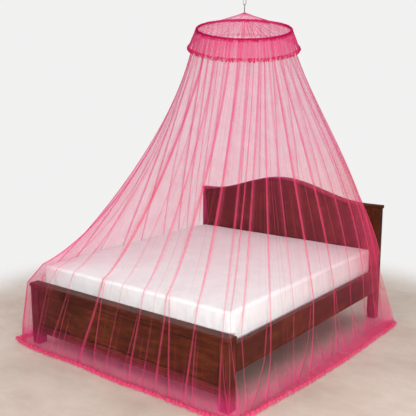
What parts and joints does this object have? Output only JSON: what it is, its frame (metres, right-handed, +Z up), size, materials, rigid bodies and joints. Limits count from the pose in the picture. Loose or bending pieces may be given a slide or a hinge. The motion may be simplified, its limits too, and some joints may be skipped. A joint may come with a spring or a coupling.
{
  "type": "mosquito net canopy and bed",
  "caption": "Sheer mosquito net hung from a ceiling link on a tipped wire hoop, with a frilled valance, spread over a wooden double bed with its mattress and falling to the floor.",
  "frame": {"origin": "top of the chain link, where the ceiling's hook holds the canopy", "axes": "+Z up out of the ceiling mount, +Y from the bed's foot to its head, +X to the right of a person standing at the foot"},
  "size_m": [2.2191, 2.2338, 2.5416],
  "materials": {
    "dark_wood": "dark red-brown stain under satin varnish",
    "white_cotton": "plain white cotton fitted sheet",
    "pink_net": "sheer pink knitted netting",
    "deep_pink_trim": "deep pink gathered edging and binding",
    "dull_steel": "dull grey-brown metal"
  },
  "bodies": {
    "root": {"foot_post_left": "dark_wood", "foot_post_right": "dark_wood", "footboard_panel": "dark_wood", "footboard_rail": "dark_wood", "footboard_cap": "dark_wood", "side_rail_left": "dark_wood", "side_rail_right": "dark_wood", "bed_deck": "dark_wood", "head_post_left": "dark_wood", "head_post_right": "dark_wood", "headboard_panel": "dark_wood", "headboard_cap": "dark_wood", "headboard_moulding": "dark_wood", "mattress": "white_cotton", "hoop_ring": "dull_steel", "hoop_sleeve": "deep_pink_trim", "crown_net": "pink_net", "valance": "pink_net", "valance_frill": "deep_pink_trim", "net_wall": "pink_net", "hem_frill": "deep_pink_trim", "hanger_shank": "dull_steel", "hanger_eye": "dull_steel", "ceiling_link": "dull_steel"}
  },
  "joints": []
}
